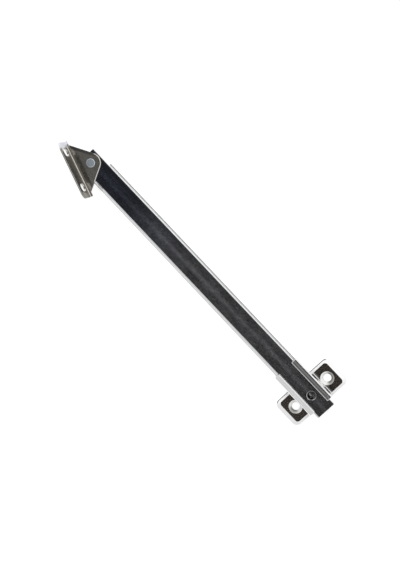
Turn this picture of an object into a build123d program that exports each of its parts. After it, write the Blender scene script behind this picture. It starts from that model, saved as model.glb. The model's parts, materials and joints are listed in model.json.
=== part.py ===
from build123d import *
import os

# Telescopic lid stay, in millimetres, lying on its back
# Origin: the base pivot's axis where it meets the back of the base plate
# +X runs along the rails to the lid bracket, +Z points away from the mounting surface

os.makedirs("parts", exist_ok=True)

# Base plate
plate_length = 59.8
plate_width = 26.8
plate_sheet = 3.0
plate_corner = 5.0
plate_face_corner = 2.6
plate_side_bevel = 2.4
plate_end_bevel = 3.7
plate_bevel_height = 1.6
plate_back_break = 0.3
plate_hole_spacing = 36.0
plate_hole_bore = 6.6
plate_sink_bore = 11.6

# Base pivot
base_shank_bore = 6.0
base_head_bore = 8.2
base_head_height = 1.4
base_head_rim = 0.5
base_tail_bore = 9.0
base_washer_bore = 15.0
base_washer_sheet = 0.6
head_washer_bore = 10.5
head_washer_sheet = 0.4
head_washer_side_clearance = 0.85

# Pivot clamp
clamp_sheet = 1.4
clamp_bend = 1.2
clamp_reach_lid_side = 30.0
clamp_reach_tail_side = 13.0
clamp_lip = 5.3
clamp_lip_rise = 0.35
clamp_lip_corner = 1.0
clamp_lip_edge_break = 0.4

# Outer rail
outer_sheet = 1.0
outer_bend = 0.4
outer_mouth_x = 250.5
outer_tail_x = -12.5
outer_flange_drop = 1.8
outer_rim_slope_width = 0.9
outer_rim_slope_drop = 0.14

# Inner rail
inner_width = 19.2
inner_depth = 5.0
inner_sheet = 1.0
inner_bend = 0.9
inner_lip_bend = 0.4
inner_tail_x = -18.5
inner_end_past_pivot = 7.2
travel = 200.0
lock_hole_x = -1.0
lock_hole_bore = 7.0
lock_hole_edge_bore = 8.2

# Lid pivot
pivot_distance = 262.0
lid_shank_bore = 5.0
lid_head_bore = 7.3
lid_head_height = 1.1
lid_head_rim = 0.45
lid_tail_bore = 7.4
lid_tail_height = 1.2
lid_washer_bore = 13.0
lid_washer_sheet = 0.5
backing_washer_bore = 11.0
backing_washer_sheet = 0.8

# Lid bracket
bracket_sheet = 1.5
bracket_bend = 0.8
bracket_angle = 18.3
bracket_edge_break = 0.5
bracket_fold_overlap = 1.0
ear_apex_radius = 8.3
ear_base_distance = 12.4
ear_base_length = 44.6
foot_length = 50.0
foot_height = 18.7
foot_corner = 5.0
foot_slot_width = 7.0
foot_slot_length = 10.4
foot_slot_spacing = 31.6
foot_slot_height = 10.3

# Plastic guides and their rivets
mouth_shoe_length = 16.0
mouth_shoe_inset = 0.5
middle_shoe_spring_gap = 0.4
tail_plug_length = 5.0
tail_plug_inset = 0.5
tail_plug_groove_clearance = 0.6
stop_overtravel = 0.5
small_shank_bore = 3.0
small_head_bore = 5.4
small_head_height = 0.8
shoe_corner = 0.7

# Lock spring
spring_sheet = 0.5
spring_width = 8.0
spring_shoe_gap = 2.0
spring_root = 9.0
spring_tip = 4.6
spring_nose_bore = 6.4
spring_nose_height = 1.3
spring_nose_break = 0.8
spring_nose_margin = 1.0
spring_tip_drop = 0.5
spring_bend = 1.25

# Clearances
shaft_clearance = 0.05
slide_side_clearance = 0.15
slide_face_clearance = 0.2
clamp_side_clearance = 0.3
clamp_lip_clearance = 0.3
shoe_clearance = 0.12
spring_clearance = 0.15

# Reach within which an edge counts as lying on a given line
pick_tolerance = 0.01

# Levels above the mounting surface
base_washer_z = plate_sheet
clamp_z = base_washer_z + base_washer_sheet
outer_z = clamp_z + clamp_sheet
outer_web_top = outer_z + outer_sheet
inner_z = outer_web_top + slide_face_clearance
inner_lip_top = inner_z + inner_sheet
inner_top = inner_z + inner_depth
inner_web_under = inner_top - inner_sheet
lid_washer_z = inner_top
ear_z = lid_washer_z + lid_washer_sheet
ear_top = ear_z + bracket_sheet
clamp_lip_z = inner_top + clamp_lip_clearance

# Widths across the rails
inner_room = inner_width - 2 * inner_sheet
inner_gap = head_washer_bore + 2 * head_washer_side_clearance
outer_room = inner_width + 2 * slide_side_clearance
outer_width = outer_room + 2 * outer_sheet
clamp_room = outer_width + 2 * clamp_side_clearance
clamp_width = clamp_room + 2 * clamp_sheet

# Stations along the rails
lock_x = travel + lock_hole_x
tail_plug_x = inner_tail_x + tail_plug_inset
middle_shoe_x = tail_plug_x + tail_plug_length + travel + stop_overtravel
middle_shoe_length = lock_x - spring_tip - middle_shoe_spring_gap - middle_shoe_x
mouth_shoe_x = outer_mouth_x - mouth_shoe_inset - mouth_shoe_length
spring_root_x = mouth_shoe_x - spring_shoe_gap - spring_root
inner_end_x = pivot_distance + inner_end_past_pivot


def across(x):
    """Plane across the rails at station x, its own x along +Y and its own y along +Z."""
    return Plane(origin=(x, 0, 0), x_dir=(0, 1, 0), z_dir=(1, 0, 0))


def folded_sheet(corners, bends, sheet, plane, length):
    """Sheet that follows the mid line's corners, with inside radii bends, run out by length from the plane."""
    radii = [bend + sheet / 2 for bend in bends]
    mid_line = FilletPolyline(*corners, radius=radii)
    return extrude(plane * trace(mid_line, line_width=sheet), amount=length)


def disc(bore, thickness, z, x=0):
    """Round solid of diameter bore that stands on level z at station x."""
    return Pos(x, 0, z + thickness / 2) * Cylinder(bore / 2, thickness)


def washer(outer_bore, hole_bore, sheet, z, x=0):
    return disc(outer_bore, sheet, z, x) - disc(hole_bore, sheet, z, x)


def countersunk_hole(bore, sink_bore, z_wide, z_far, x=0, y=0):
    """Cutter for a 90 degree countersink that is widest at z_wide and runs on to z_far."""
    way = 1 if z_wide > z_far else -1
    deep = (sink_bore - bore) / 2
    cone = Cone(bore / 2, sink_bore / 2, deep)
    if way < 0:
        cone = Cone(sink_bore / 2, bore / 2, deep)
    cone = Pos(x, y, z_wide - way * deep / 2) * cone
    return cone + Pos(x, y, (z_wide + z_far) / 2) * Cylinder(bore / 2, abs(z_wide - z_far))


def small_rivet(x, seat_z):
    """Rivet through the outer rail's web, with a flat head on seat_z and a formed end behind the web."""
    shank = disc(small_shank_bore, seat_z - outer_z, outer_z, x)
    head = disc(small_head_bore, small_head_height, seat_z, x)
    tail = disc(small_head_bore, small_head_height, outer_z - small_head_height, x)
    return shank + head + tail


def small_rivet_hole(x, top_z):
    bore = small_shank_bore + 2 * shaft_clearance
    return disc(bore, top_z - outer_z, outer_z, x)


def make_base_plate():
    outline = RectangleRounded(plate_width, plate_length, plate_corner)
    face_width = plate_width - 2 * plate_side_bevel
    face_length = plate_length - 2 * plate_end_bevel
    face = RectangleRounded(face_width, face_length, plate_face_corner)
    bevel_z = plate_sheet - plate_bevel_height
    slab = extrude(outline, amount=bevel_z)
    slab = chamfer(slab.edges().group_by(Axis.Z)[0], plate_back_break)
    plate = slab + loft([Pos(0, 0, bevel_z) * outline, Pos(0, 0, plate_sheet) * face], ruled=True)
    for side in (-1, 1):
        y = side * plate_hole_spacing / 2
        plate -= countersunk_hole(plate_hole_bore, plate_sink_bore, plate_sheet, 0, y=y)
    tail_bore = base_tail_bore + 2 * shaft_clearance
    shank_bore = base_shank_bore + 2 * shaft_clearance
    return plate - countersunk_hole(shank_bore, tail_bore, 0, plate_sheet)


def make_base_pivot_rivet():
    """Domed head on its washer, shank, and a formed end sunk into the back of the plate."""
    head_z = outer_web_top + head_washer_sheet
    dome_height = base_head_height - base_head_rim
    dome_radius = (base_head_bore ** 2 / 4 + dome_height ** 2) / (2 * dome_height)
    dome = Pos(0, 0, head_z + base_head_height - dome_radius) * Sphere(dome_radius)
    head = disc(base_head_bore, base_head_height, head_z) & dome
    deep = (base_tail_bore - base_shank_bore) / 2
    tail = Pos(0, 0, deep / 2) * Cone(base_tail_bore / 2, base_shank_bore / 2, deep)
    return tail + disc(base_shank_bore, head_z - deep, deep) + head


def make_pivot_clamp():
    side = (clamp_width - clamp_sheet) / 2
    web = clamp_z + clamp_sheet / 2
    lip = clamp_lip_z + clamp_sheet / 2
    tip = clamp_width / 2 - clamp_lip
    corners = [(-tip, lip + clamp_lip_rise), (-side, lip), (-side, web)]
    corners += [(side, web), (side, lip), (tip, lip + clamp_lip_rise)]
    length = clamp_reach_lid_side + clamp_reach_tail_side
    clamp = folded_sheet(corners, 4 * [clamp_bend], clamp_sheet, across(-clamp_reach_tail_side), length)
    near_tip = clamp.edges().filter_by(
        lambda edge: abs(edge.center().Y) < tip + clamp_lip_corner and edge.center().Z > inner_top)
    clamp = fillet(near_tip.filter_by(Axis.X, reverse=True), clamp_lip_corner)
    lip_rims = clamp.edges().filter_by(Axis.X).group_by(Axis.Z)[-1]
    clamp = chamfer(lip_rims, clamp_lip_edge_break)
    return clamp - disc(base_shank_bore + 2 * shaft_clearance, clamp_sheet, clamp_z)


def make_outer_rail():
    side = (outer_width - outer_sheet) / 2
    web = outer_z + outer_sheet / 2
    rim = inner_top - outer_flange_drop
    corners = [(-side, rim), (-side, web), (side, web), (side, rim)]
    length = outer_mouth_x - outer_tail_x
    rail = folded_sheet(corners, 2 * [outer_bend], outer_sheet, across(outer_tail_x), length)
    for last in (0, -1):
        rim_face = rail.faces().filter_by(Axis.Z).group_by(Axis.Z)[-1].sort_by(Axis.Y)[last]
        rim_edge = rim_face.edges().filter_by(Axis.X).sort_by(Axis.Y)[last]
        rail = chamfer(rim_edge, outer_rim_slope_width, outer_rim_slope_drop, reference=rim_face)
    rail -= disc(base_shank_bore + 2 * shaft_clearance, outer_sheet, outer_z)
    for x in (rivet_station(mouth_shoe_x, mouth_shoe_length), spring_rivet_x(),
              rivet_station(middle_shoe_x, middle_shoe_length)):
        rail -= small_rivet_hole(x, outer_web_top)
    return rail


def make_inner_rail():
    side = (inner_width - inner_sheet) / 2
    web = inner_top - inner_sheet / 2
    lip = inner_z + inner_sheet / 2
    tip = inner_gap / 2
    corners = [(-tip, lip), (-side, lip), (-side, web), (side, web), (side, lip), (tip, lip)]
    length = inner_end_x - inner_tail_x
    bends = [inner_lip_bend, inner_bend, inner_bend, inner_lip_bend]
    rail = folded_sheet(corners, bends, inner_sheet, across(inner_tail_x), length)
    rail -= countersunk_hole(lock_hole_bore, lock_hole_edge_bore, inner_top, inner_web_under, lock_hole_x)
    pivot_bore = lid_shank_bore + 2 * shaft_clearance
    return rail - disc(pivot_bore, inner_sheet, inner_web_under, pivot_distance)


def rivet_station(start, length):
    return start + length / 2


def spring_rivet_x():
    return spring_root_x + spring_root / 2


def relieve_rims(guide, half_width):
    """Chamfer a guide's outer long edges, so that they clear the inner rail's bends."""
    rims = guide.edges().filter_by(Axis.X).filter_by(
        lambda edge: abs(edge.center().Y) > half_width - pick_tolerance)
    guide = chamfer(rims.group_by(Axis.Z)[-1], inner_bend + shoe_clearance)
    rims = guide.edges().filter_by(Axis.X).filter_by(
        lambda edge: abs(edge.center().Y) > half_width - pick_tolerance)
    return chamfer(rims.group_by(Axis.Z)[0], inner_lip_bend + shoe_clearance)


def make_shoe(x, length):
    """Plastic guide of T section: its foot stands on the outer rail's web, its wings over the lips."""
    wing = inner_room / 2 - shoe_clearance
    foot = inner_gap / 2 - shoe_clearance
    wing_z = inner_lip_top + shoe_clearance
    top = inner_web_under - shoe_clearance
    section = make_face(Polyline(
        (-foot, outer_web_top), (foot, outer_web_top), (foot, wing_z), (wing, wing_z),
        (wing, top), (-wing, top), (-wing, wing_z), (-foot, wing_z), close=True))
    shoe = extrude(across(x) * section, amount=length)
    ends = shoe.edges().filter_by(Axis.Z).group_by(SortBy.LENGTH)[-1]
    shoe = chamfer(ends, shoe_corner)
    shoe = relieve_rims(shoe, wing)
    centre = rivet_station(x, length)
    deep = shoe_head_depth()
    head_room = disc(small_head_bore + 2 * shoe_clearance, deep, top - deep, centre)
    return shoe - small_rivet_hole(centre, top) - head_room


def shoe_head_depth():
    return small_head_height + shoe_clearance


def shoe_rivet(x, length):
    return small_rivet(rivet_station(x, length), inner_web_under - shoe_clearance - shoe_head_depth())


def make_tail_plug():
    """Plastic plug of the inner rail's tail, grooved so that it passes over the base pivot's head."""
    wing = inner_room / 2
    groove = inner_gap / 2 - shoe_clearance
    head_top = outer_web_top + head_washer_sheet + base_head_height
    roof = head_top + tail_plug_groove_clearance
    section = make_face(Polyline(
        (groove, inner_lip_top), (wing, inner_lip_top), (wing, inner_web_under),
        (-wing, inner_web_under), (-wing, inner_lip_top), (-groove, inner_lip_top),
        (-groove, roof), (groove, roof), close=True))
    plug = extrude(across(tail_plug_x) * section, amount=tail_plug_length)
    return relieve_rims(plug, wing)


def make_lock_spring():
    """Leaf spring: its root lies on the outer rail's web, its nose bears on the inner rail's web."""
    nose_top = inner_web_under - spring_clearance
    blade_top = nose_top - spring_nose_height
    root_mid = outer_web_top + spring_sheet / 2
    blade_mid = blade_top - spring_sheet / 2
    flat_start_x = lock_x + spring_nose_bore / 2 + spring_nose_margin
    corners = [
        (spring_root_x + spring_root, root_mid),
        (spring_root_x, root_mid),
        (flat_start_x, blade_mid),
        (flat_start_x - spring_nose_bore, blade_mid),
        (lock_x - spring_tip, blade_mid - spring_tip_drop),
    ]
    mid_line = FilletPolyline(*corners, radius=spring_bend + spring_sheet / 2)
    side_plane = Plane(origin=(0, spring_width / 2, 0), x_dir=(1, 0, 0), z_dir=(0, -1, 0))
    leaf = extrude(side_plane * trace(mid_line, line_width=spring_sheet), amount=spring_width)
    nose = disc(spring_nose_bore, spring_nose_height, blade_top, lock_x)
    nose = chamfer(nose.edges().group_by(Axis.Z)[-1], spring_nose_break)
    root_hole = disc(small_shank_bore + 2 * shaft_clearance, spring_sheet, outer_web_top, spring_rivet_x())
    return leaf + nose - root_hole


def make_lid_pivot_rivet():
    x = pivot_distance
    head = disc(lid_head_bore, lid_head_height, ear_top, x)
    head = chamfer(head.edges().group_by(Axis.Z)[-1], lid_head_rim)
    tail_seat = inner_web_under - backing_washer_sheet
    tail = disc(lid_tail_bore, lid_tail_height, tail_seat - lid_tail_height, x)
    return head + disc(lid_shank_bore, ear_top - tail_seat, tail_seat, x) + tail


def make_lid_bracket():
    """Built about its pivot with the foot across +Y, then turned and set on the inner rail."""
    bend_y = ear_base_distance - bracket_bend
    sheet_mid = ear_z + bracket_sheet / 2
    foot_mid = ear_base_distance + bracket_sheet / 2
    corners = [(bend_y - bracket_fold_overlap, sheet_mid), (foot_mid, sheet_mid)]
    corners += [(foot_mid, ear_z + foot_height)]
    foot = folded_sheet(corners, [bracket_bend], bracket_sheet, across(-foot_length / 2), foot_length)
    top_corners = foot.edges().filter_by(Axis.Y).group_by(Axis.Z)[-1]
    foot = fillet(top_corners, foot_corner)

    apex = Circle(ear_apex_radius)
    half_base = ear_base_length / 2
    ear = make_hull(apex.edges() + Line((-half_base, bend_y), (half_base, bend_y)).edges())
    ear = extrude(Pos(0, 0, ear_z) * ear, amount=bracket_sheet)
    ear_rim = ear.edges().group_by(Axis.Z)[-1].filter_by(
        lambda edge: edge.center().Y < bend_y - bracket_fold_overlap)
    ear = chamfer(ear_rim, bracket_edge_break)
    bracket = foot + ear

    for side in (-1, 1):
        slot = SlotOverall(foot_slot_length, foot_slot_width, rotation=90)
        slot_plane = Plane(
            origin=(side * foot_slot_spacing / 2, ear_base_distance, ear_z + foot_slot_height),
            x_dir=(1, 0, 0), z_dir=(0, -1, 0))
        bracket -= extrude(slot_plane * slot, amount=-bracket_sheet)
    bracket -= disc(lid_shank_bore + 2 * shaft_clearance, bracket_sheet, ear_z)
    return Pos(pivot_distance, 0, 0) * Rot(0, 0, -bracket_angle) * bracket


base_hole = base_shank_bore + 2 * shaft_clearance
lid_hole = lid_shank_bore + 2 * shaft_clearance

pieces = {
    "base_plate": make_base_plate(),
    "base_pivot_rivet": make_base_pivot_rivet(),
    "base_pivot_washer": washer(base_washer_bore, base_hole, base_washer_sheet, base_washer_z),
    "base_head_washer": washer(head_washer_bore, base_hole, head_washer_sheet, outer_web_top),
    "pivot_clamp": make_pivot_clamp(),
    "outer_rail": make_outer_rail(),
    "mouth_shoe": make_shoe(mouth_shoe_x, mouth_shoe_length),
    "mouth_shoe_rivet": shoe_rivet(mouth_shoe_x, mouth_shoe_length),
    "middle_shoe": make_shoe(middle_shoe_x, middle_shoe_length),
    "middle_shoe_rivet": shoe_rivet(middle_shoe_x, middle_shoe_length),
    "lock_spring": make_lock_spring(),
    "lock_spring_rivet": small_rivet(spring_rivet_x(), outer_web_top + spring_sheet),
    "inner_rail": make_inner_rail(),
    "tail_plug": make_tail_plug(),
    "lid_pivot_rivet": make_lid_pivot_rivet(),
    "lid_pivot_washer": washer(lid_washer_bore, lid_hole, lid_washer_sheet, lid_washer_z, pivot_distance),
    "lid_backing_washer": washer(
        backing_washer_bore, lid_hole, backing_washer_sheet,
        inner_web_under - backing_washer_sheet, pivot_distance),
    "lid_bracket": make_lid_bracket(),
}

for name, piece in pieces.items():
    export_step(piece, f"parts/{name}.step")
    print(name, round(piece.volume, 1), piece.is_valid)
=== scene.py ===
import json
import bpy
from mathutils import Matrix, Vector


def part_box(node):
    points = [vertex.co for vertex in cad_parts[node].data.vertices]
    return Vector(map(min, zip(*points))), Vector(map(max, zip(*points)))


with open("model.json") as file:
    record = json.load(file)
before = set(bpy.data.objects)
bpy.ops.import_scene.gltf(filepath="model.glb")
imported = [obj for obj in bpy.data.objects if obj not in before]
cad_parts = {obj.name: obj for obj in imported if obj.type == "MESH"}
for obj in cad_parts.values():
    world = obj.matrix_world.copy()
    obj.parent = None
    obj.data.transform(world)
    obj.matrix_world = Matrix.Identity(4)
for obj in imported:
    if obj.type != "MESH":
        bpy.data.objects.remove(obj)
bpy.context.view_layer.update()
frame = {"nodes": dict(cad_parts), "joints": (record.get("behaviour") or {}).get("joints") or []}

nodes = frame["nodes"]
scene = bpy.context.scene

MM = 0.001

# Camera, nearly straight down on the stay and a little from its -Y side: places in metres, optics in mm
CAMERA_PLACE = Vector((0.10073, -0.21487, 0.95696))
CAMERA_TARGET = Vector((0.12742, 0.00444, 0.0100))
CAMERA_UP = Vector((0.72661, -0.67298, -0.13549))
CLIP_NEAR = 0.01
CLIP_FAR = 20.0
CAMERA_LENS = 106.375
SENSOR_WIDTH = 36.0

# Floor and lamp, in metres and watts
FLOOR_SIZE = 8.0
FLOOR_PLACE = (0.12, 0.0, -0.0002)
KEY_PLACE = Vector((0.6, -0.9, 1.3))
KEY_TARGET = Vector((0.12, 0.0, 0.0))
KEY_SIZE = 0.8
KEY_WATTS = 9.0

# Colours of the surroundings
WHITE = (1.0, 1.0, 1.0)
EVEN_LIGHT = (0.75, 0.75, 0.75)
FLOOR_GREY = (0.45, 0.45, 0.45)
FLOOR_GLOW = 0.70

# Colours of the metal and the nylon: a tint is the mirror's, and a haze its dull layer's
SILVER_TINT = (0.92, 0.92, 0.93)
NICKEL_TINT = (0.48, 0.47, 0.45)
BLUE_TINT = (0.60, 0.68, 0.74)
DARK_RIVET_TINT = (0.30, 0.30, 0.31)
SPRING_TINT = (0.55, 0.55, 0.58)
PLAIN_HAZE = (0.86, 0.85, 0.84)
CLAMP_HAZE = (1.0, 0.98, 0.96)
BROWN_HAZE = (0.92, 0.78, 0.66)
OLIVE_HAZE = (0.66, 0.62, 0.54)
BLUE_HAZE = (0.82, 0.91, 1.0)
DARK_RIVET_HAZE = (0.30, 0.29, 0.28)
NYLON = (0.80, 0.79, 0.73)

# Colours of the finishes, and of the painted highlights, reflections and shade, on edges, ends and shaded
# places
REFLECTION_BLACK = (0.02, 0.02, 0.02)
SHADE = (0.03, 0.03, 0.03)
EDGE_DARK_REFLECTION = (0.07, 0.07, 0.06)
END_SHADE_OLIVE = (0.19, 0.18, 0.14)
LIP_SHEEN_GREY = (0.30, 0.30, 0.30)
FOOT_BROWN = (0.42, 0.38, 0.32)
FOOT_EDGE_HIGHLIGHT_GREY = (0.42, 0.41, 0.38)
HOLE_EDGE_GREY = (0.42, 0.43, 0.45)
RIVET_EDGE_BLUE = (0.62, 0.68, 0.72)
EDGE_HIGHLIGHT = (0.84, 0.82, 0.78)
END_HIGHLIGHT_WHITE = (0.90, 0.91, 1.0)
RIM_HIGHLIGHT_WHITE = (0.98, 0.98, 0.98)


def low_of(node):
    """Lowest corner of a node, in millimetres."""
    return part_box(node)[0] / MM


def high_of(node):
    """Highest corner of a node, in millimetres."""
    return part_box(node)[1] / MM


# Places that the finishes and the painted light and shade follow, in millimetres of the part's own frame:
# flanks, tips and middles along Y, feet and faces along Z
LID_PIVOT_X = next(joint["pos_m"][0] for joint in frame["joints"] if joint["name"] == "lid_pivot") / MM
RAIL_FLANK_Y = high_of("inner_rail").y
LOCK_HOLE_EDGE_Y = 4.75
RIM_MIDDLE_Y = high_of("outer_rail").y - 0.55
RIM_FOOT_Z = high_of("outer_rail").z - 0.35
LIP_TIP_Y = high_of("pivot_clamp").y - 4.9
LIP_REFLECTION_LINES_Y = ((LIP_TIP_Y + 0.85, LIP_TIP_Y + 1.35), (LIP_TIP_Y + 3.05, LIP_TIP_Y + 3.65))
LIP_FOOT_Z = high_of("inner_rail").z - 1.45
PLATE_FACE_Z = high_of("base_plate").z
FOOT_START_Z = low_of("lid_bracket").z + 2.9
FOOT_TOP_Z = high_of("lid_bracket").z

# Distances from the lid pivot towards the foot, in millimetres
EAR_END = 10.2
FOOT_EDGE_MIDDLE = 13.15

# Directions along X and Y, square to the bracket's fold and square to the -Y side of its ear
TO_FOOT = (0.314, 0.949)
TO_SIDE = (0.497, -0.868)


def add_camera():
    """The photograph's view."""
    data = bpy.data.cameras.new("camera")
    data.sensor_fit = "HORIZONTAL"
    data.sensor_width = SENSOR_WIDTH
    data.lens = CAMERA_LENS
    data.clip_start = CLIP_NEAR
    data.clip_end = CLIP_FAR
    camera = bpy.data.objects.new("camera", data)
    scene.collection.objects.link(camera)
    back = (CAMERA_PLACE - CAMERA_TARGET).normalized()
    right = CAMERA_UP.cross(back).normalized()
    up = back.cross(right)
    turn = Matrix((right, up, back)).transposed().to_4x4()
    camera.matrix_world = Matrix.Translation(CAMERA_PLACE) @ turn
    scene.camera = camera


class Nodes:
    """Adds shader nodes to one tree, and links them in the same call."""

    def __init__(self, tree):
        self.tree = tree

    def add(self, kind, inputs=None, **settings):
        node = self.tree.nodes.new(kind)
        for key, value in settings.items():
            setattr(node, key, value)
        for key, value in (inputs or {}).items():
            if isinstance(value, bpy.types.NodeSocket):
                self.tree.links.new(value, node.inputs[key])
            else:
                node.inputs[key].default_value = value
        return node

    def math(self, operation, first, second=0.0):
        return self.add("ShaderNodeMath", {0: first, 1: second}, operation=operation).outputs[0]

    def product(self, first, *others):
        for other in others:
            first = self.math("MULTIPLY", first, other)
        return first

    def total(self, first, *others):
        for other in others:
            first = self.math("ADD", first, other)
        return first

    def rest(self, share):
        """What a share leaves of one."""
        return self.math("SUBTRACT", 1.0, share)

    def remap(self, value, source, target, smooth=False):
        """The value carried from the source range to the target range, and held at their ends."""
        sockets = {"Value": value, "From Min": source[0], "From Max": source[1],
                   "To Min": target[0], "To Max": target[1]}
        kind = "SMOOTHSTEP" if smooth else "LINEAR"
        return self.add("ShaderNodeMapRange", sockets, interpolation_type=kind).outputs["Result"]

    def above(self, value, level, soft):
        """Nought below the level and one above it, with a border of soft on each side."""
        return self.remap(value, (level - soft, level + soft), (0.0, 1.0))

    def below(self, value, level, soft):
        """One below the level and nought above it, with a border of soft on each side."""
        return self.remap(value, (level - soft, level + soft), (1.0, 0.0))

    def between(self, value, low, high, soft):
        """One between low and high and nought outside."""
        return self.product(self.above(value, low, soft), self.below(value, high, soft))

    def ramp(self, factor, stops):
        """A colour for the factor, from stops of (place, colour)."""
        node = self.add("ShaderNodeValToRGB", {"Fac": factor})
        band = node.color_ramp
        while len(band.elements) < len(stops):
            band.elements.new(0.5)
        for element, (place, color) in zip(band.elements, stops):
            element.position = place
            element.color = (*color, 1.0)
        return node.outputs["Color"]

    def grey(self, level):
        """A grey whose brightness varies."""
        return self.add("ShaderNodeCombineColor", {0: level, 1: level, 2: level}).outputs[0]

    def axes(self, vector):
        """The X, Y and Z of a vector."""
        return self.add("ShaderNodeSeparateXYZ", {0: vector}).outputs

    def scaled_place(self, along, across):
        """Place in the part's own frame, times one factor along the rails and another across them."""
        place = self.add("ShaderNodeTexCoord").outputs["Object"]
        sockets = {"Vector": place, "Scale": (along, across, across)}
        return self.add("ShaderNodeMapping", sockets, vector_type="POINT").outputs["Vector"]

    def spot(self):
        """Place on the surface in millimetres of the part's own frame, as X, Y and Z."""
        return self.axes(self.scaled_place(1.0 / MM, 1.0 / MM))

    def facing(self):
        """Direction of the surface in the part's own frame, as X, Y and Z."""
        return self.axes(self.add("ShaderNodeTexCoord").outputs["Normal"])

    def grain(self, along, across, detail, rough=0.5):
        """Noise with so many cells to the metre along the rails and across them."""
        sockets = {"Vector": self.scaled_place(along, across), "Scale": 1.0, "Detail": detail,
                   "Roughness": rough}
        return self.add("ShaderNodeTexNoise", sockets).outputs["Fac"]

    def frosted(self, color, metallic, rough):
        """A shader of one finish, whose colour is three numbers or a socket."""
        color = (*color, 1.0) if isinstance(color, tuple) else color
        sockets = {"Base Color": color, "Metallic": metallic, "Roughness": rough}
        return self.add("ShaderNodeBsdfPrincipled", sockets).outputs["BSDF"]


def new_material(name):
    """An empty material and its nodes."""
    material = bpy.data.materials.new(name)
    material.use_nodes = True
    material.node_tree.nodes.clear()
    return material, Nodes(material.node_tree)


def steel(name, tint, haze_tint, haze, sharp=0.03, dull=0.45, cells=(420.0, 620.0), matte=False):
    """Polished steel: a sharp mirror under a thin dull layer, whose share is haze(nodes, blotches)."""
    material, n = new_material(name)
    blotches = n.grain(*cells, detail=3.0, rough=0.6)
    darker_tint = tuple(0.92 * channel for channel in tint)
    scratches = n.grain(200.0, 4200.0, detail=2.0)
    bump = n.add("ShaderNodeBump", {"Height": scratches, "Strength": 0.0015, "Distance": 0.0001})
    mirror = n.add("ShaderNodeBsdfPrincipled", {
        "Base Color": n.ramp(blotches, [(0.32, darker_tint), (0.68, tint)]),
        "Metallic": 1.0, "Roughness": sharp, "Normal": bump.outputs["Normal"]})
    layer = n.add("ShaderNodeBsdfPrincipled", {
        "Base Color": haze_tint(n) if callable(haze_tint) else (*haze_tint, 1.0),
        "Metallic": 0.0 if matte else 1.0, "Roughness": dull, "Normal": bump.outputs["Normal"]})
    both = n.add("ShaderNodeMixShader", {
        0: haze(n, blotches), 1: mirror.outputs["BSDF"], 2: layer.outputs["BSDF"]})
    n.add("ShaderNodeOutputMaterial", {"Surface": both.outputs[0]})
    return material


def even_haze(low, high):
    """Dull share between low and high, following the blotches."""
    return lambda n, blotches: n.remap(blotches, (0.3, 0.7), (low, high))


def add_finish_or_painted_light(material, mask, finish, share=1.0):
    """Lay a second finish, or painted light and shade, over the material: mask(nodes) says where, and share
    how much of it.
    """
    n = Nodes(material.node_tree)
    output = next(node for node in material.node_tree.nodes if node.type == "OUTPUT_MATERIAL")
    below = output.inputs["Surface"].links[0].from_socket
    mix = n.add("ShaderNodeMixShader", {0: n.product(mask(n), share), 1: below, 2: finish(n)})
    n.tree.links.new(mix.outputs[0], output.inputs["Surface"])


def paint(color, metallic=0.1, rough=0.4):
    """A finish, or painted light or shade, of one colour."""
    return lambda n: n.frosted(color, metallic, rough)


def dress(material, *names):
    """Give a material to the nodes of these names."""
    for name in names:
        for slot in nodes[name].material_slots:
            slot.material = material


def cone(n):
    """Mask of the faces at 45 degrees, which are sinks and broken edges."""
    return n.between(n.facing()["Z"], 0.63, 0.78, 0.02)


def web_haze(n, blotches):
    """Dull share of the inner rail, with a rubbed streak along the middle of its web."""
    at = n.spot()
    wander = n.remap(n.grain(30.0, 30.0, detail=2.0), (0.3, 0.7), (-0.2, 1.2))
    off_middle = n.math("ABSOLUTE", n.total(at["Y"], wander))
    streak = n.remap(off_middle, (0.2, 2.8), (0.055, 0.0), smooth=True)
    worn = n.remap(n.grain(260.0, 900.0, detail=3.0, rough=0.65), (0.35, 0.65), (0.3, 1.0))
    drift = n.remap(n.grain(70.0, 160.0, detail=2.0), (0.35, 0.65), (0.8, 1.2))
    even = n.remap(blotches, (0.3, 0.7), (0.006, 0.084))
    body = n.total(n.product(even, drift), n.product(streak, worn))
    lid_end = n.remap(at["X"], (180.0, 215.0), (1.0, 0.40), smooth=True)
    base_end = n.remap(at["X"], (-15.0, 20.0), (0.75, 1.0))
    near_bend = n.remap(at["Y"], (0.1 - RAIL_FLANK_Y, 4.6 - RAIL_FLANK_Y), (0.6, 0.0))
    past_clamp = n.remap(at["X"], (80.0, 160.0), (0.3, 1.0), smooth=True)
    return n.product(body, lid_end, base_end, n.rest(n.product(near_bend, past_clamp)))


def web_tint(n):
    """Colour of the inner rail's haze, neutral near the base and blue towards the lid end."""
    way = n.remap(n.spot()["X"], (50.0, 230.0), (0.0, 1.0))
    return n.ramp(way, [(0.0, (0.83, 0.81, 0.85)), (0.5, (0.83, 0.84, 0.88)),
                        (0.78, (0.77, 0.80, 0.95)), (1.0, (0.60, 0.68, 1.0))])


def lock_hole_edge(n):
    """Mask of the broken edge round the lock hole."""
    return n.product(cone(n), n.below(n.math("ABSOLUTE", n.spot()["Y"]), LOCK_HOLE_EDGE_Y, 0.25))


def dress_inner_rail():
    material = steel("inner_rail_steel", SILVER_TINT, web_tint, web_haze, sharp=0.015, dull=0.6,
                     cells=(700.0, 1400.0), matte=True)
    add_finish_or_painted_light(material, lock_hole_edge, paint(HOLE_EDGE_GREY, metallic=0.6), share=0.8)
    dress(material, "inner_rail")


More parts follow.
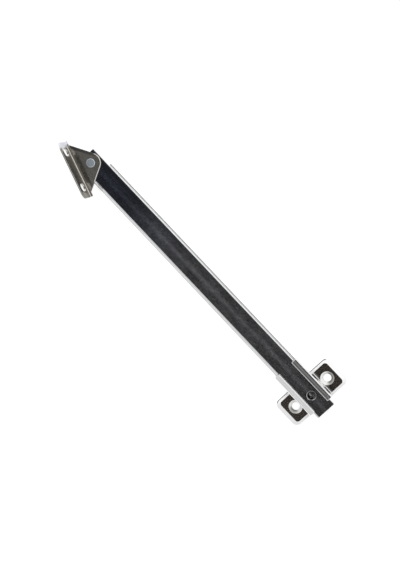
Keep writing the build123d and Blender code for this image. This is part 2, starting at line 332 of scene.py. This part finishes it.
def rail_rim_highlight(n):
    """Mask of the painted highlight on the outer rail's rims: the inner half of the one at -Y, and the one
    at +Y half as much.
    """
    at = n.spot()
    inner_half = n.remap(at["Y"], (-RIM_MIDDLE_Y - 0.1, -RIM_MIDDLE_Y + 0.1), (0.1, 0.95))
    other_side = n.remap(at["Y"], (-1.0, 1.0), (0.0, -0.5))
    return n.product(n.above(at["Z"], RIM_FOOT_Z, 0.05), n.total(inner_half, other_side))


def dress_outer_rail():
    material = steel("outer_rail_steel", SILVER_TINT, PLAIN_HAZE, even_haze(0.05, 0.09))
    # Painted highlight: white frosted paint on the rims' tops, more on the -Y rim
    add_finish_or_painted_light(material, rail_rim_highlight, paint(RIM_HIGHLIGHT_WHITE, metallic=0.0))
    dress(material, "outer_rail")


def lip_edge_highlight(n):
    """Mask of the painted highlights on the broken edges of the clamp's lips."""
    at = n.spot()
    near_tip = n.below(n.math("ABSOLUTE", at["Y"]), LIP_TIP_Y, 0.1)
    return n.product(near_tip, n.above(at["Z"], LIP_FOOT_Z, 0.25))


def lip_top(n):
    """Mask of the flat top of the clamp's lip on the -Y side."""
    at = n.spot()
    flat = n.above(n.facing()["Z"], 0.885, 0.035)
    return n.product(flat, n.above(at["Z"], LIP_FOOT_Z, 0.25), n.below(at["Y"], -0.5, 0.5))


def lip_reflection_lines(n):
    """Mask of the two dark lines along that lip, which are painted reflections."""
    away = n.product(n.spot()["Y"], -1.0)
    lines = [n.between(away, low, high, 0.1) for low, high in LIP_REFLECTION_LINES_Y]
    return n.product(lip_top(n), n.total(*lines))


def dress_clamp():
    material = steel("clamp_steel", SILVER_TINT, CLAMP_HAZE, even_haze(0.25, 0.34), sharp=0.035,
                     cells=(60.0, 1500.0))
    # Painted grey sheen on the -Y lip's flat top
    add_finish_or_painted_light(material, lip_top, paint(LIP_SHEEN_GREY, metallic=0.0), share=0.36)
    # Painted dark reflections, as two lines along that lip
    add_finish_or_painted_light(material, lip_reflection_lines, paint(REFLECTION_BLACK), share=0.8)
    # Painted highlights on the lips' broken edges
    add_finish_or_painted_light(material, lip_edge_highlight, paint(WHITE, metallic=0.0), share=0.9)
    dress(material, "pivot_clamp")


def sink_painted_light(n):
    """Turned cone with painted light and shade: bright, with painted shade towards its bottom and on one
    side, which differs between the two.
    """
    face, at = n.facing(), n.spot()
    along = n.product(face["X"], n.remap(at["Y"], (-1.0, 1.0), (0.97, 0.41)))
    across = n.product(face["Y"], n.remap(at["Y"], (-1.0, 1.0), (1.03, -1.35)))
    narrower = n.remap(at["Y"], (-1.0, 1.0), (0.0, -0.5))
    shade = n.remap(n.total(along, across, narrower), (-0.3, 0.5), (0.0, 1.0), smooth=True)
    height = n.remap(at["Z"], (PLATE_FACE_Z - 2.2, PLATE_FACE_Z - 0.4), (0.0, 1.0))
    lit = n.ramp(height, [(0.0, (0.90, 0.90, 0.88)), (0.5, (1.0, 1.0, 0.99))])
    shaded = n.ramp(height, [(0.0, (0.14, 0.14, 0.13)), (0.9, (0.48, 0.47, 0.45))])
    sockets = {"Factor": shade, 6: lit, 7: shaded}
    color = n.add("ShaderNodeMix", sockets, data_type="RGBA").outputs[2]
    return n.frosted(color, metallic=0.0, rough=0.5)


def plate_slope(n):
    """Mask of the plate's pressed slopes."""
    return n.between(n.facing()["Z"], 0.80, 0.96, 0.01)


def slope_painted_shade(n):
    """Pale frosted slope with painted shade: greyer towards +Y, with a painted shadow line at its foot
    towards +X.
    """
    face = n.facing()
    pale = n.math("MAXIMUM", n.remap(face["Y"], (-0.4, 0.4), (1.0, 0.88)), n.above(face["X"], 0.30, 0.05))
    foot = n.below(n.spot()["Z"], PLATE_FACE_Z - 1.25, 0.05)
    line = n.product(foot, n.remap(face["X"], (0.30, 0.40), (0.0, 0.97)))
    return n.frosted(n.grey(n.product(pale, n.rest(line))), metallic=0.0, rough=0.5)


def dress_plate():
    material = steel("plate_steel", SILVER_TINT, BROWN_HAZE, even_haze(0.055, 0.07))
    # Painted light and shade on the sinks' cones
    add_finish_or_painted_light(material, cone, sink_painted_light)
    # Painted shade on the pressed slopes, and a painted shadow line at their foot
    add_finish_or_painted_light(material, plate_slope, slope_painted_shade)
    dress(material, "base_plate")


def outward(n, at):
    """Distance from the lid pivot towards the foot, square to the fold."""
    along = n.product(n.total(at["X"], -LID_PIVOT_X), TO_FOOT[0])
    return n.total(along, n.product(at["Y"], TO_FOOT[1]))


def ear(n, at):
    """Mask of the bracket's ear, which leaves out its foot and the fold."""
    return n.below(outward(n, at), EAR_END, 0.2)


def bracket_haze(n, blotches):
    """Dull share of the bracket, which grows along the ear towards its +X end."""
    at = n.spot()
    slope = n.remap(at["X"], (LID_PIVOT_X - 14.0, LID_PIVOT_X + 22.0), (-0.4, 0.45))
    even = n.remap(blotches, (0.3, 0.7), (0.19, 0.30))
    return n.product(even, n.total(n.product(ear(n, at), slope), 1.0))


def foot_haze(n):
    """Mask of the duller stretch of the foot near its fold."""
    at = n.spot()
    return n.product(n.remap(at["Z"], (13.0, 27.0), (1.0, 0.0)), n.rest(ear(n, at)))


def ear_shade(n):
    """Mask of the dark band inside the ear's -Y side."""
    at = n.spot()
    ahead = n.total(at["X"], -LID_PIVOT_X)
    reach = n.total(n.product(ahead, TO_SIDE[0]), n.product(at["Y"], TO_SIDE[1]))
    band = n.remap(reach, (5.4, 7.0), (0.0, 1.0), smooth=True)
    return n.product(band, n.remap(ahead, (-1.0, 6.0), (0.0, 1.0)), ear(n, at))


def foot_top(n, at):
    """Mask of the sheet's edge along the top of the foot."""
    return n.product(n.above(at["Z"], FOOT_TOP_Z - 0.65, 0.15), n.above(n.facing()["Z"], 0.90, 0.05))


def from_middle(n, at):
    """Distance from the middle line of that edge."""
    return n.math("ABSOLUTE", n.total(outward(n, at), -FOOT_EDGE_MIDDLE))


def foot_lines(n):
    """Mask of the dark lines on both sides of the foot's top edge, and of the face just below it."""
    at = n.spot()
    sides = n.product(foot_top(n, at), n.above(from_middle(n, at), 0.3, 0.1), 0.95)
    face = n.between(at["Z"], FOOT_TOP_Z - 1.8, FOOT_TOP_Z - 0.4, 0.3)
    upright = n.below(n.facing()["Z"], 0.25, 0.05)
    return n.math("MAXIMUM", sides, n.product(face, upright, 0.5))


def foot_edge_highlight(n):
    """Mask of the painted highlight along the middle of the foot's top edge."""
    at = n.spot()
    return n.product(foot_top(n, at), n.below(from_middle(n, at), 0.3, 0.1))


def apex_and_fold_highlight(n):
    """Mask of the painted highlight on the broken edge round the ear's apex and in the fold's hollow."""
    at, face = n.spot(), n.facing()
    apex = n.product(n.below(face["X"], 0.315, 0.015), n.below(at["Y"], 8.75, 0.75), cone(n), ear(n, at))
    fold = n.product(n.between(face["Z"], 0.35, 0.93, 0.03), n.rest(ear(n, at)))
    return n.math("MAXIMUM", apex, fold)


def ear_side_reflection(n):
    """Mask of the painted dark reflection on the broken edge along the ear's two sides."""
    at, face = n.spot(), n.facing()
    sides = n.math("MAXIMUM", n.above(face["X"], 0.315, 0.015), n.above(at["Y"], 9.25, 0.75))
    return n.product(sides, cone(n), ear(n, at))


def upper_end_highlight(n):
    """Mask of the painted highlight on the foot's end towards +X."""
    at = n.spot()
    foot = n.product(n.above(at["X"], LID_PIVOT_X + 23.05, 0.75), n.above(at["Z"], FOOT_START_Z, 0.4))
    return n.math("MAXIMUM", foot, n.above(at["X"], LID_PIVOT_X + 24.9, 0.3))


def lower_end_shade(n):
    """Mask of the painted shade on the foot's end towards -X."""
    at = n.spot()
    return n.product(n.below(at["X"], LID_PIVOT_X - 15.6, 1.4), n.above(at["Z"], FOOT_START_Z, 0.4))


def dress_bracket():
    material = steel("bracket_steel", NICKEL_TINT, OLIVE_HAZE, bracket_haze, sharp=0.11, dull=0.5)
    add_finish_or_painted_light(material, foot_haze, paint(FOOT_BROWN), share=0.22)
    add_finish_or_painted_light(material, ear_shade, paint(SHADE), share=0.88)
    add_finish_or_painted_light(material, foot_lines, paint(SHADE))
    # Painted highlight along the middle of the foot's top edge
    add_finish_or_painted_light(material, foot_edge_highlight, paint(FOOT_EDGE_HIGHLIGHT_GREY), share=0.85)
    # Painted highlight on the apex edge and in the fold
    add_finish_or_painted_light(material, apex_and_fold_highlight, paint(EDGE_HIGHLIGHT), share=0.85)
    # Painted dark reflection on the ear's side edges
    add_finish_or_painted_light(material, ear_side_reflection, paint(EDGE_DARK_REFLECTION), share=0.9)
    # Painted highlight on the foot's +X end
    add_finish_or_painted_light(material, upper_end_highlight, paint(END_HIGHLIGHT_WHITE), share=0.85)
    # Painted shade on the foot's -X end
    add_finish_or_painted_light(material, lower_end_shade, paint(END_SHADE_OLIVE), share=0.8)
    dress(material, "lid_bracket")


def dress_lid_rivet():
    material = steel("lid_rivet_steel", BLUE_TINT, BLUE_HAZE, even_haze(0.40, 0.50), sharp=0.2,
                     dull=0.55)
    add_finish_or_painted_light(material, cone, paint(RIVET_EDGE_BLUE))
    dress(material, "lid_pivot_rivet")


def dress_base_rivet():
    # Darker steel for the base rivet and its washer
    material = steel("dark_rivet_steel", DARK_RIVET_TINT, DARK_RIVET_HAZE, even_haze(0.3, 0.6), sharp=0.15)
    dress(material, "base_pivot_rivet", "base_head_washer")


def dress_inner_steel():
    rivets = steel("rivet_steel", SILVER_TINT, PLAIN_HAZE, even_haze(0.04, 0.10))
    dress(rivets, "mouth_shoe_rivet", "middle_shoe_rivet", "lock_spring_rivet", "lid_backing_washer")
    spring = steel("spring_steel", SPRING_TINT, PLAIN_HAZE, even_haze(0.1, 0.2), sharp=0.1)
    dress(spring, "lock_spring")


def dress_nylon():
    material, n = new_material("nylon")
    clouds = n.grain(400.0, 400.0, detail=3.0)
    darker = tuple(0.9 * channel for channel in NYLON)
    tint = n.ramp(clouds, [(0.3, darker), (0.7, NYLON)])
    bump = n.add("ShaderNodeBump", {"Height": clouds, "Strength": 0.05, "Distance": 0.0002})
    shader = n.add("ShaderNodeBsdfPrincipled", {
        "Base Color": tint, "Roughness": 0.45, "Normal": bump.outputs["Normal"],
        "Subsurface Weight": 0.1, "Subsurface Radius": (0.002, 0.002, 0.0015)})
    n.add("ShaderNodeOutputMaterial", {"Surface": shader.outputs["BSDF"]})
    dress(material, "base_pivot_washer", "mouth_shoe", "middle_shoe", "tail_plug", "lid_pivot_washer")


def dark_field(n, direction, run_x, run_y):
    """Share of the dark field overhead, and of a dark beam that stands low towards +X and -Y."""
    near_edge = n.total(run_y, n.product(run_x, 0.05))
    field = n.product(
        n.remap(near_edge, (0.254, 0.272), (1.0, 0.0), smooth=True),
        n.remap(run_y, (-2.3, -1.7), (0.0, 1.0), smooth=True),
        n.remap(run_x, (-2.6, -1.9), (0.0, 1.0), smooth=True),
        n.remap(run_x, (3.0, 4.0), (1.0, 0.0), smooth=True))
    reach = n.math("MAXIMUM", n.math("ABSOLUTE", direction["X"]), 0.001)
    bearing = n.math("DIVIDE", direction["Y"], reach)
    beam = n.product(
        n.remap(bearing, (-2.6, -2.0), (0.0, 1.0), smooth=True),
        n.remap(bearing, (-0.5, -0.3), (1.0, 0.0), smooth=True),
        n.remap(direction["X"], (0.15, 0.25), (0.0, 1.0), smooth=True),
        n.remap(direction["Z"], (0.45, 0.6), (1.0, 0.0), smooth=True))
    return n.math("MAXIMUM", field, beam)


def bright_level(n, direction, run_y):
    """Brightness of the white surroundings, a little lower towards +Y, with a grey wall there."""
    open_sky = n.remap(direction["Z"], (0.0, 0.5), (0.88, 1.12))
    wall = n.product(n.remap(run_y, (0.7, 1.0), (0.0, 0.45), smooth=True),
                     n.remap(run_y, (4.0, 6.0), (1.0, 0.0), smooth=True))
    far_side = n.product(n.remap(run_y, (0.35, 0.9), (0.72, 0.95)), n.rest(wall))
    toward = n.remap(direction["Y"], (0.08, 0.24), (0.0, 1.0), smooth=True)
    return n.total(open_sky, n.product(toward, n.math("SUBTRACT", far_side, open_sky)))


def add_world():
    """White surroundings with one dark field overhead, which the flat polished faces mirror."""
    world = bpy.data.worlds.new("world")
    scene.world = world
    world.use_nodes = True
    world.node_tree.nodes.clear()
    n = Nodes(world.node_tree)
    direction = n.axes(n.add("ShaderNodeTexCoord").outputs["Generated"])
    # How far the direction runs along X and Y for each unit that it rises
    rise = n.math("MAXIMUM", direction["Z"], 0.02)
    run_x = n.math("DIVIDE", direction["X"], rise)
    run_y = n.math("DIVIDE", direction["Y"], rise)
    dark = dark_field(n, direction, run_x, run_y)
    dark_level = n.remap(run_y, (0.0, 0.17), (0.02, 0.006), smooth=True)
    bright = n.product(n.rest(dark), bright_level(n, direction, run_y))
    level = n.total(n.product(dark, dark_level), bright)
    mirrored = n.add("ShaderNodeBackground", {"Color": n.grey(level), "Strength": 1.0})
    even_light = n.add("ShaderNodeBackground", {"Color": (*EVEN_LIGHT, 1.0), "Strength": 1.0})
    backdrop = n.add("ShaderNodeBackground", {"Color": (*WHITE, 1.0), "Strength": 1.0})
    ray = n.add("ShaderNodeLightPath").outputs
    lit = n.add("ShaderNodeMixShader", {
        0: ray["Is Glossy Ray"], 1: even_light.outputs[0], 2: mirrored.outputs[0]})
    shown = n.add("ShaderNodeMixShader", {
        0: ray["Is Camera Ray"], 1: lit.outputs[0], 2: backdrop.outputs[0]})
    n.add("ShaderNodeOutputWorld", {"Surface": shown.outputs[0]})


def add_floor():
    """Floor that the camera and the polished faces see white, with the object's shadow kept."""
    material, n = new_material("floor_white")
    diffuse = n.add("ShaderNodeBsdfDiffuse", {"Color": (*FLOOR_GREY, 1.0)})
    glow = n.add("ShaderNodeEmission", {"Color": (*WHITE, 1.0), "Strength": FLOOR_GLOW})
    both = n.add("ShaderNodeAddShader", {0: diffuse.outputs[0], 1: glow.outputs[0]})
    ray = n.add("ShaderNodeLightPath").outputs
    direct = n.math("MAXIMUM", ray["Is Camera Ray"], ray["Is Glossy Ray"])
    mix = n.add("ShaderNodeMixShader", {0: direct, 1: diffuse.outputs[0], 2: both.outputs[0]})
    n.add("ShaderNodeOutputMaterial", {"Surface": mix.outputs[0]})
    bpy.ops.mesh.primitive_plane_add(size=FLOOR_SIZE, location=FLOOR_PLACE)
    floor = bpy.context.object
    floor.name = "floor"
    floor.data.materials.append(material)


def add_key_lamp():
    """One soft lamp above the -Y side, which the polished faces don't mirror."""
    data = bpy.data.lights.new("key", "AREA")
    data.size = KEY_SIZE
    data.energy = KEY_WATTS
    lamp = bpy.data.objects.new("key", data)
    scene.collection.objects.link(lamp)
    lamp.location = KEY_PLACE
    lamp.rotation_euler = (KEY_TARGET - KEY_PLACE).to_track_quat("-Z", "Y").to_euler()
    lamp.visible_glossy = False


add_camera()
add_world()
add_floor()
add_key_lamp()

dress_inner_rail()
dress_outer_rail()
dress_clamp()
dress_plate()
dress_bracket()
dress_lid_rivet()
dress_base_rivet()
dress_inner_steel()
dress_nylon()

scene.view_settings.view_transform = "Standard"
